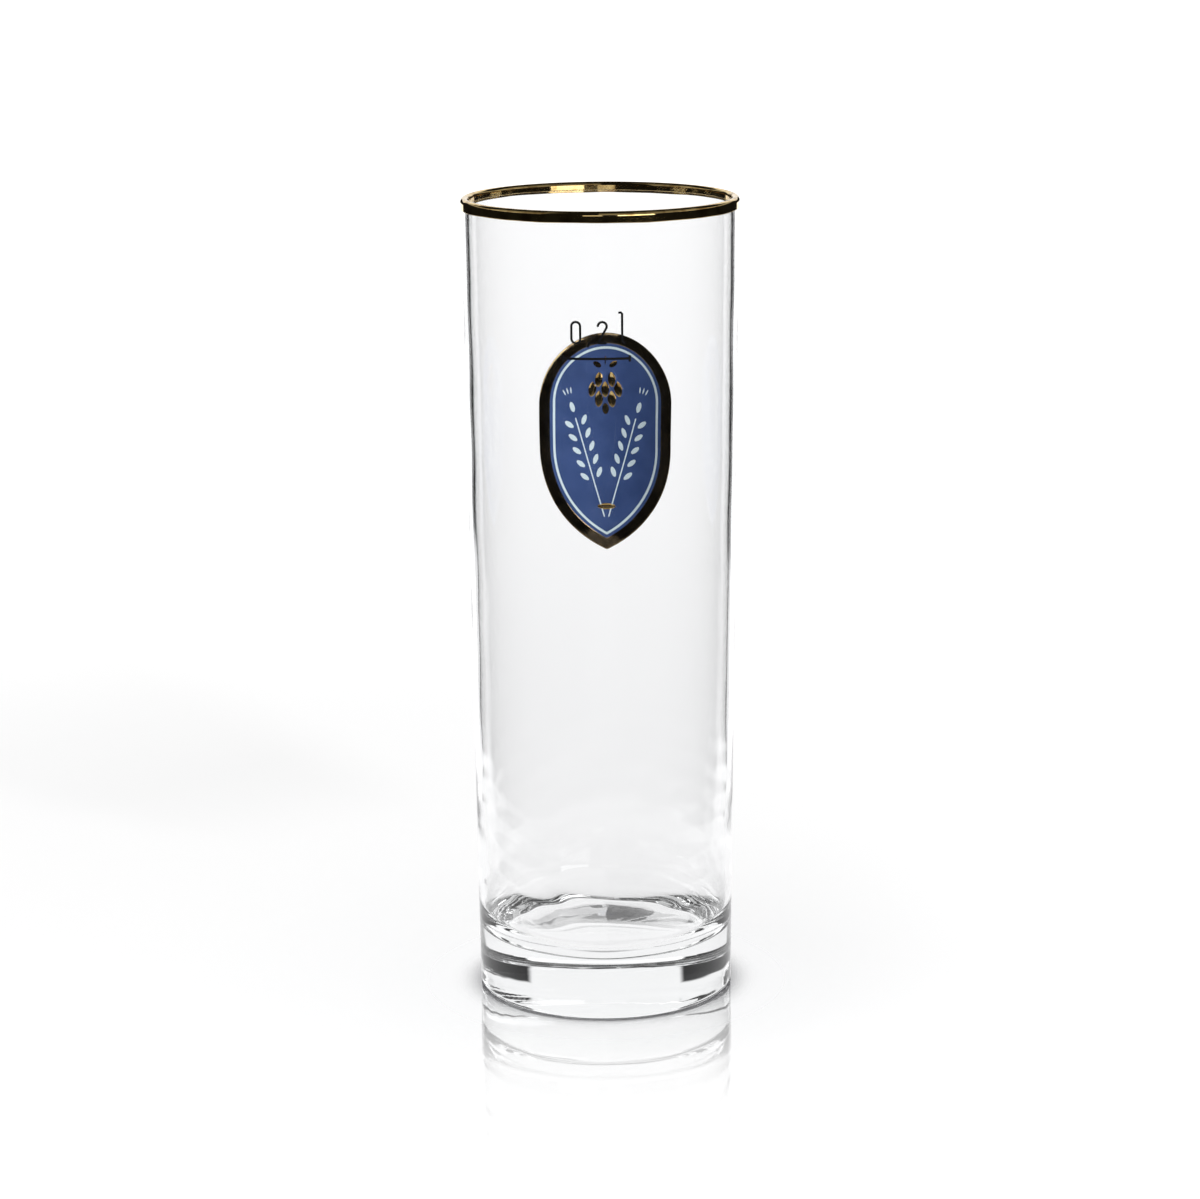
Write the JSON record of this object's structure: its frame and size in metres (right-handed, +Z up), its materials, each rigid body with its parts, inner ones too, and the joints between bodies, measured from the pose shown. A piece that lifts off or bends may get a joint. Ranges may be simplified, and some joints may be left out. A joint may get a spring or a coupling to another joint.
{
  "type": "beer glass",
  "caption": "Slim, slightly tapered beer glass with a thick foot, a gilded lip, a fired shield emblem on one side and a fill line on the other.",
  "frame": {"origin": "middle of the foot, on the plane that the glass stands on", "axes": "+Z up along the glass's axis, -Y towards the fill line, +Y towards the emblem, +X to the right seen from the fill line"},
  "size_m": [0.0518, 0.0518, 0.1521],
  "materials": {
    "clear_glass": "fire-polished clear soda-lime glass",
    "bright_gold": "fired bright gold",
    "relief_gold": "fired gold over a raised paste, slightly uneven",
    "blue_enamel": "glossy fired enamel",
    "white_enamel": "glossy fired enamel",
    "black_enamel": "satin fired enamel"
  },
  "bodies": {
    "root": {"glass_body": "clear_glass", "gold_rim": "bright_gold", "shield_border": "relief_gold", "shield_field": "blue_enamel", "shield_line": "white_enamel", "barley_ears": "white_enamel", "hop_cone": "bright_gold", "stem_band": "bright_gold", "fill_line": "black_enamel"}
  },
  "joints": []
}
